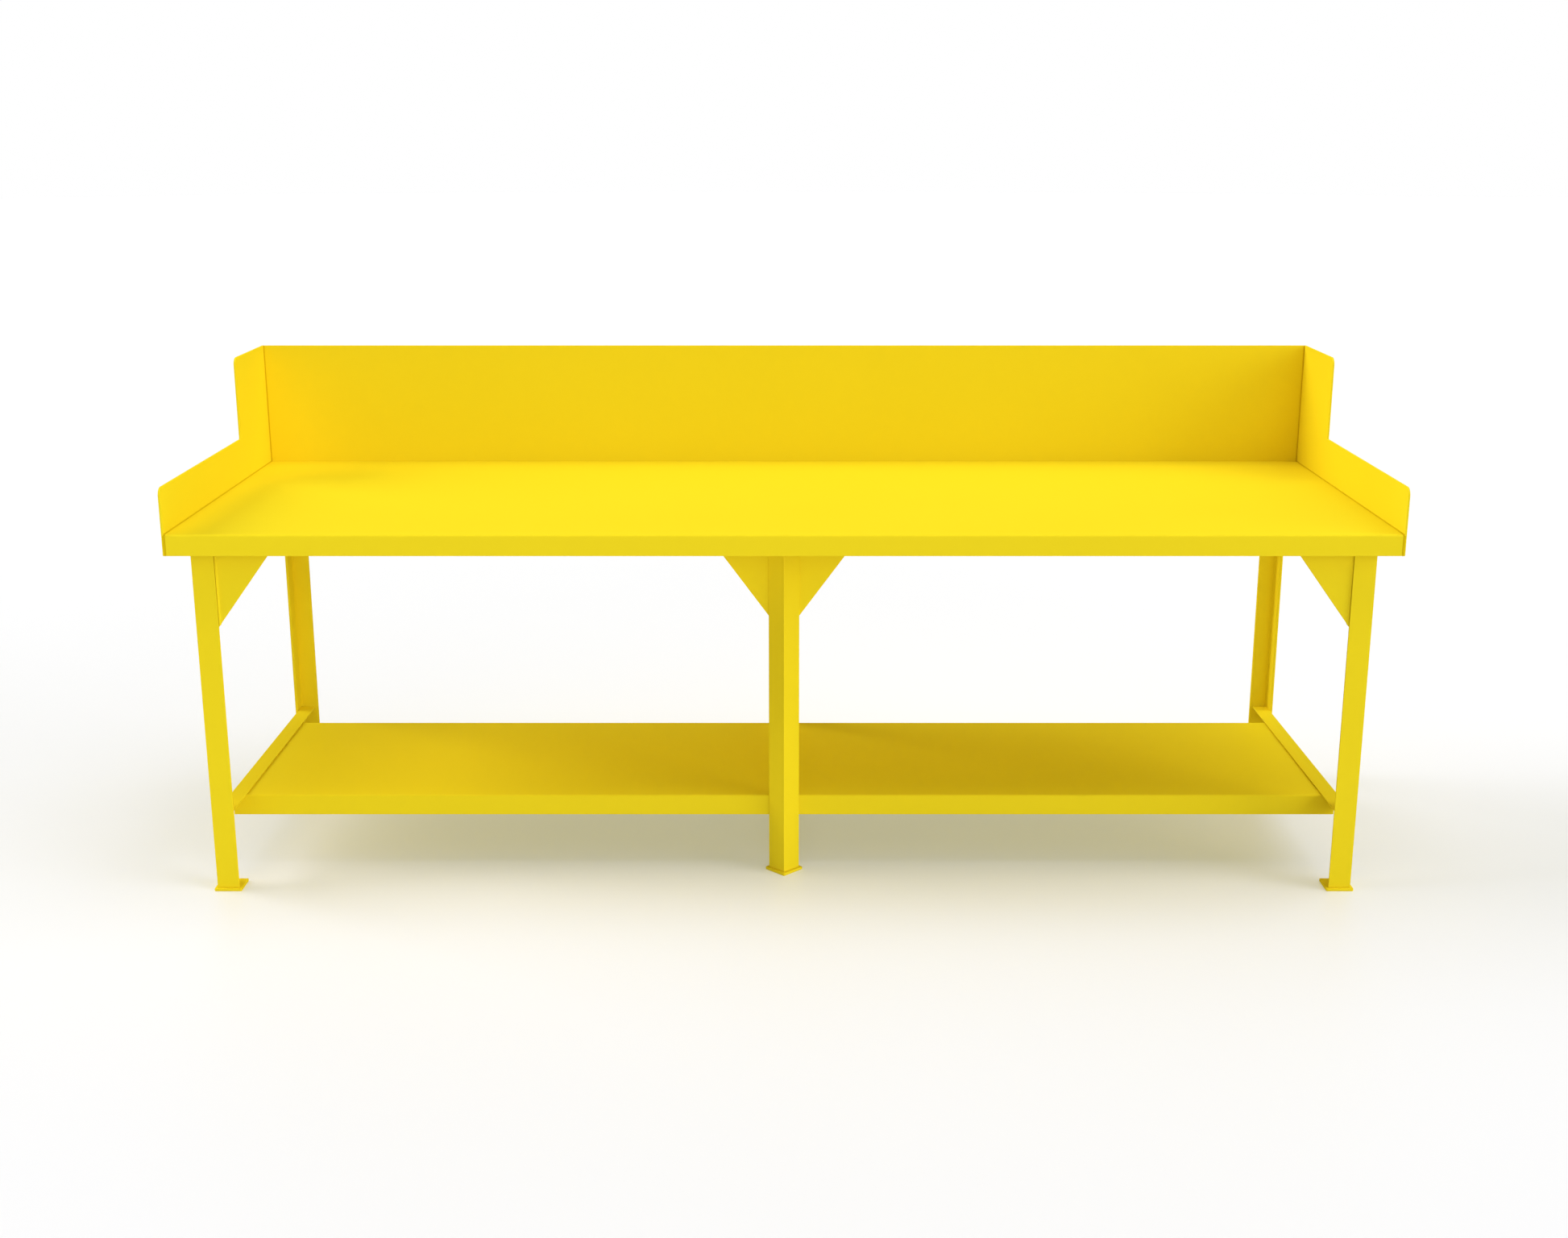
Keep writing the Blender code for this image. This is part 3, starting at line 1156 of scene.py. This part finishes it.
@dataclass(frozen=True)
class SoftLight:
    """A wide, far light, as a big soft box gives.

    Attributes:
        name: the light's name.
        azimuth: where it stands round the table, in degrees from the front towards the right end.
        elevation: its height above the horizon, in degrees.
        strength: how strongly it lights a surface that faces it.
        spread: how wide it looks from the table, in degrees.
    """

    name: str
    azimuth: float
    elevation: float
    strength: float
    spread: float = 40.0

    def direction(self) -> Vector:
        """Works out where the light comes from.

        Returns:
            The direction from the table to the light.
        """
        around = math.radians(self.azimuth)
        above = math.radians(self.elevation)
        flat = math.cos(above)
        return Vector((math.sin(around) * flat, -math.cos(around) * flat, math.sin(above)))

    def build(self) -> None:
        """Adds the light to the scene."""
        lamp = bpy.data.lights.new(self.name, "SUN")
        lamp.energy = self.strength
        lamp.angle = math.radians(self.spread)
        light = bpy.data.objects.new(self.name, lamp)
        bpy.context.scene.collection.objects.link(light)
        light.rotation_euler = self.direction().to_track_quat("Z", "Y").to_euler()
        log.info("%s at %.0f degrees round, %.0f degrees up", self.name, self.azimuth, self.elevation)


@dataclass
class Studio:
    """The white room that the table stands in.

    Attributes:
        floor: the floor's finish.
        floor_radius: how far the floor reaches.
        floor_sides: straight runs round its edge.
        floor_drop: how far it lies below the foot plates, so that the two faces don't meet.
        white: the colour of the light from all round and of the background.
        ambient: the strength of that light.
        background: how bright the camera and reflections see the background.
        lights: the soft lights.
    """

    floor: SealedFloor
    floor_radius: float = 40.0
    floor_sides: int = 64
    floor_drop: float = 0.2 * MILLIMETRE
    white: str = "#FFFFFF"
    ambient: float = 0.14
    background: float = 1.0
    lights: tuple[SoftLight, ...] = (
        SoftLight("soft_light_left", -100.0, 30.0, 2.12),
        SoftLight("soft_light_above", 0.0, 85.0, 0.72),
        SoftLight("soft_light_right", 90.0, 60.0, 0.87),
        SoftLight("soft_light_front", 0.0, 12.0, 0.44),
        SoftLight("soft_light_low_front", 25.0, 5.0, 0.44),
        SoftLight("soft_light_right_front", 65.0, 20.0, 1.17),
    )

    def build(self) -> None:
        """Builds the floor, the light from all round and the soft lights."""
        self.build_floor()
        self.build_world()
        for light in self.lights:
            light.build()

    def build_floor(self) -> None:
        """Builds a plain round floor."""
        points = arc((0.0, 0.0), self.floor_radius, 0.0, 4 * QUARTER_TURN, self.floor_sides)[:-1]
        mesh = bpy.data.meshes.new("studio_floor")
        vertices = [(x, y, -self.floor_drop) for x, y in points]
        mesh.from_pydata(vertices, [], [list(range(len(vertices)))])
        mesh.materials.append(self.floor.material())
        ground = bpy.data.objects.new("studio_floor", mesh)
        bpy.context.scene.collection.objects.link(ground)
        log.info("studio_floor reaches %.0f m", self.floor_radius)

    def build_world(self) -> None:
        """Builds a white world, which the camera and reflections see at full white."""
        world = bpy.data.worlds.new("white_studio")
        bpy.context.scene.world = world
        world.use_nodes = True
        tree = world.node_tree
        tree.nodes.clear()
        choice = add_node(tree, "ShaderNodeMixShader")
        tree.links.new(shown_rays(tree), choice.inputs[0])
        for socket, strength in ((1, self.ambient), (2, self.background)):
            look = {"Color": linear(self.white), "Strength": strength}
            source = add_node(tree, "ShaderNodeBackground", values=look)
            tree.links.new(source.outputs[0], choice.inputs[socket])
        add_node(tree, "ShaderNodeOutputWorld", links={"Surface": choice.outputs[0]})
        log.info("white_studio gives %.2f from all round", self.ambient)


@dataclass(frozen=True)
class PhotoCamera:
    """The camera, in front of the middle of the table and tilted down at it.

    Attributes:
        place: where it stands.
        tilt_down: how far it looks down, in degrees.
        focal_length: in millimetres, on the sensor width below.
        sensor_width: in millimetres.
    """

    place: tuple[float, float, float] = (0.0, -4.5263, 1.7609)
    tilt_down: float = 14.983
    focal_length: float = 43.42
    sensor_width: float = 36.0

    def build(self) -> None:
        """Adds the camera and makes it the scene's own."""
        data = bpy.data.cameras.new("photo_camera")
        data.lens = self.focal_length
        data.sensor_width = self.sensor_width
        camera = bpy.data.objects.new("photo_camera", data)
        bpy.context.scene.collection.objects.link(camera)
        camera.location = self.place
        camera.rotation_euler = (QUARTER_TURN - math.radians(self.tilt_down), 0.0, 0.0)
        bpy.context.scene.camera = camera
        log.info("photo_camera looks down %.1f degrees", self.tilt_down)


def main() -> None:
    """Builds the table, then the studio round it."""
    logging.basicConfig(level=logging.INFO, format="%(name)s: %(message)s")
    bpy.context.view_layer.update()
    # The second coat is the darker seam coat, painted shade for the open seams.
    coats = (PowderCoat().material(), SeamShadeCoat().material())
    for assembly in (Worktop(*coats), Guards(*coats), Legs(*coats), Gussets(*coats), LowerShelf(*coats)):
        assembly.build()
    Studio(SealedFloor()).build()
    PhotoCamera().build()
    bpy.context.scene.view_settings.view_transform = "Standard"


if __name__ == "__main__":
    main()
